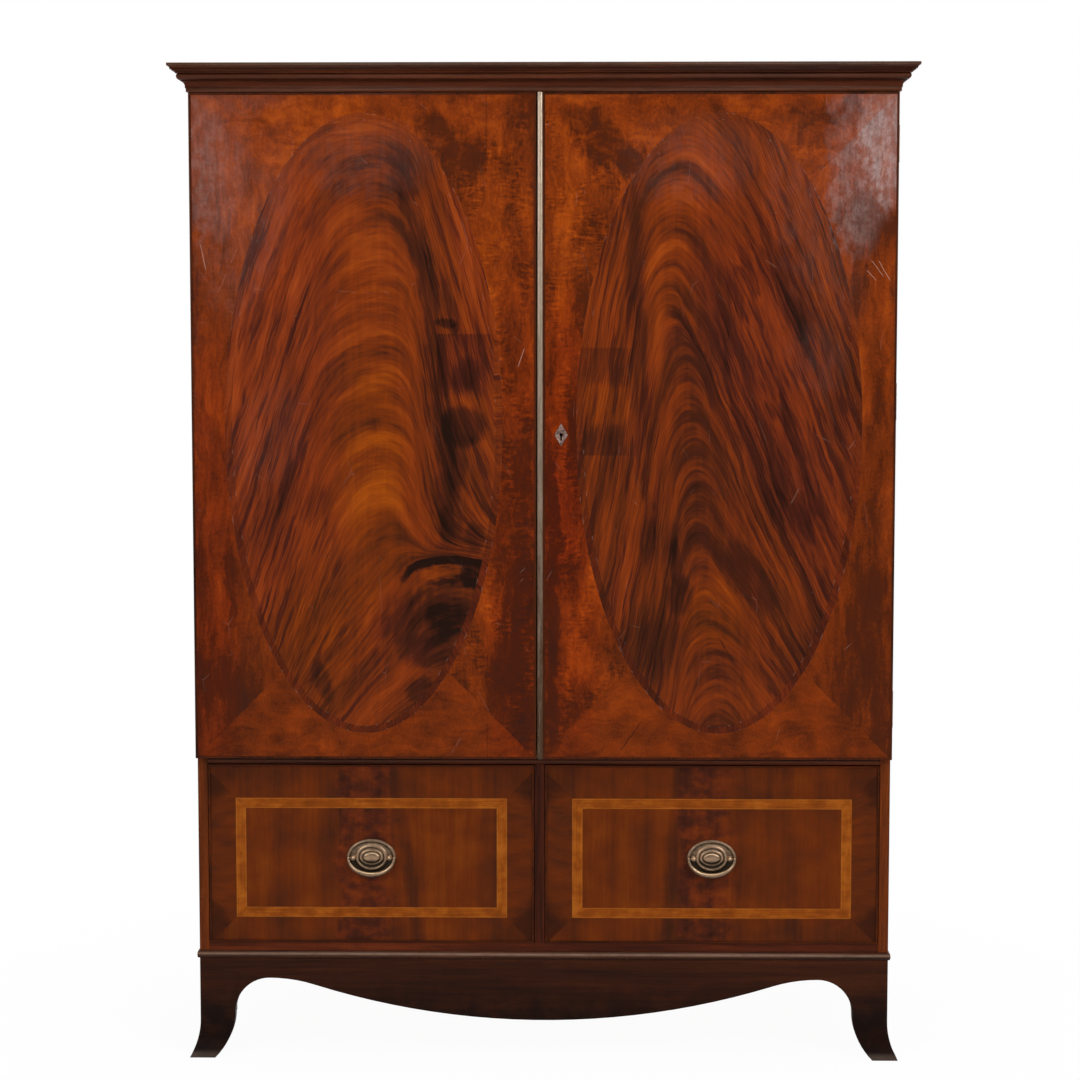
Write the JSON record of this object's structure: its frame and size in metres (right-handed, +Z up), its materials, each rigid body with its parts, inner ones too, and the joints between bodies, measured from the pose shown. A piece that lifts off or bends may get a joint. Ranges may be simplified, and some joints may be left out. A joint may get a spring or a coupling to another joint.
{
  "type": "linen press",
  "caption": "Linen press: a cupboard with oval-veneered doors over sliding trays, on a drawer base with a shaped apron, splayed feet and brass bail handles.",
  "frame": {"origin": "on the floor under the middle of the overall width and depth", "axes": "+X to the right seen from the front, -Y out of the front towards the viewer, +Z up"},
  "size_m": [1.29, 0.56, 1.75],
  "materials": {
    "mahogany_veneer": "french polished, flame figured",
    "mahogany": "french polished",
    "satinwood": "french polished",
    "pine": "planed, unfinished",
    "oak": "waxed",
    "brass": "aged, rubbed bright on the high parts",
    "iron": "filed and oiled"
  },
  "bodies": {
    "carcass": {"cornice_moulding": "mahogany", "cornice_frame": "pine", "cornice_top_board": "pine", "upper_left_side": "mahogany", "upper_right_side": "mahogany", "upper_top_board": "pine", "upper_bottom_board": "pine", "upper_back_boards": "pine", "tray_runners": "oak", "lower_left_side": "mahogany", "lower_right_side": "mahogany", "lower_top_board": "pine", "lower_bottom_board": "pine", "front_rails": "mahogany", "drawer_partition": "mahogany", "drawer_stops": "oak", "lower_back_boards": "pine", "base_bead": "mahogany", "front_apron": "mahogany", "left_apron": "mahogany", "right_apron": "mahogany", "rear_brackets": "pine", "corner_blocks": "pine", "case_hinge_leaves": "brass"},
    "left_door": {"left_door_core": "mahogany", "left_door_spandrels": "mahogany_veneer", "left_door_oval": "mahogany_veneer", "left_door_edge_beads": "mahogany", "left_door_hinge_leaves": "brass", "strike_plate": "brass", "bolt_guides": "brass"},
    "right_door": {"right_door_core": "mahogany", "right_door_spandrels": "mahogany_veneer", "right_door_oval": "mahogany_veneer", "right_door_edge_beads": "mahogany", "right_door_hinge_leaves": "brass", "closing_strip": "brass", "escutcheon": "brass", "lock_case": "iron"},
    "lock_bolt": {"lock_bolt": "iron"},
    "top_bolt": {"top_bolt": "brass"},
    "bottom_bolt": {"bottom_bolt": "brass"},
    "left_drawer": {"left_drawer_box": "oak", "left_drawer_veneer": "mahogany_veneer", "left_drawer_inlay": "satinwood", "left_drawer_cock_beads": "mahogany", "left_drawer_handle_plate": "brass"},
    "left_bail": {"left_drawer_handle_bail": "brass"},
    "right_drawer": {"right_drawer_box": "oak", "right_drawer_veneer": "mahogany_veneer", "right_drawer_inlay": "satinwood", "right_drawer_cock_beads": "mahogany", "right_drawer_handle_plate": "brass"},
    "right_bail": {"right_drawer_handle_bail": "brass"},
    "tray_1": {"tray_1": "oak"},
    "tray_2": {"tray_2": "oak"},
    "tray_3": {"tray_3": "oak"},
    "tray_4": {"tray_4": "oak"},
    "tray_5": {"tray_5": "oak"}
  },
  "joints": [
    {"name": "left_door_hinge", "type": "hinge", "parent": "carcass", "child": "left_door", "pos_m": [-0.6135, -0.22625, 1.112], "axis": [0, 0, -1], "range_deg": [0, 180]},
    {"name": "right_door_hinge", "type": "hinge", "parent": "carcass", "child": "right_door", "pos_m": [0.6135, -0.22625, 1.112], "axis": [0, 0, 1], "range_deg": [0, 180]},
    {"name": "lock_bolt_slide", "type": "slide", "parent": "right_door", "child": "lock_bolt", "axis": [-1, 0, 0], "range_m": [0, 0.009]},
    {"name": "top_bolt_slide", "type": "slide", "parent": "left_door", "child": "top_bolt", "axis": [0, 0, 1], "range_m": [0, 0.014]},
    {"name": "bottom_bolt_slide", "type": "slide", "parent": "left_door", "child": "bottom_bolt", "axis": [0, 0, -1], "range_m": [0, 0.014]},
    {"name": "left_drawer_slide", "type": "slide", "parent": "carcass", "child": "left_drawer", "axis": [0, -1, 0], "range_m": [0, 0.38]},
    {"name": "left_bail_swing", "type": "hinge", "parent": "left_drawer", "child": "left_bail", "pos_m": [-0.3052, -0.2345, 0.36025], "axis": [-1, 0, 0], "range_deg": [0, 170]},
    {"name": "right_drawer_slide", "type": "slide", "parent": "carcass", "child": "right_drawer", "axis": [0, -1, 0], "range_m": [0, 0.38]},
    {"name": "right_bail_swing", "type": "hinge", "parent": "right_drawer", "child": "right_bail", "pos_m": [0.2988, -0.2345, 0.36025], "axis": [-1, 0, 0], "range_deg": [0, 170]},
    {"name": "tray_1_slide", "type": "slide", "parent": "carcass", "child": "tray_1", "axis": [0, -1, 0], "range_m": [0, 0.02]},
    {"name": "tray_2_slide", "type": "slide", "parent": "carcass", "child": "tray_2", "axis": [0, -1, 0], "range_m": [0, 0.02]},
    {"name": "tray_3_slide", "type": "slide", "parent": "carcass", "child": "tray_3", "axis": [0, -1, 0], "range_m": [0, 0.02]},
    {"name": "tray_4_slide", "type": "slide", "parent": "carcass", "child": "tray_4", "axis": [0, -1, 0], "range_m": [0, 0.02]},
    {"name": "tray_5_slide", "type": "slide", "parent": "carcass", "child": "tray_5", "axis": [0, -1, 0], "range_m": [0, 0.02]}
  ]
}
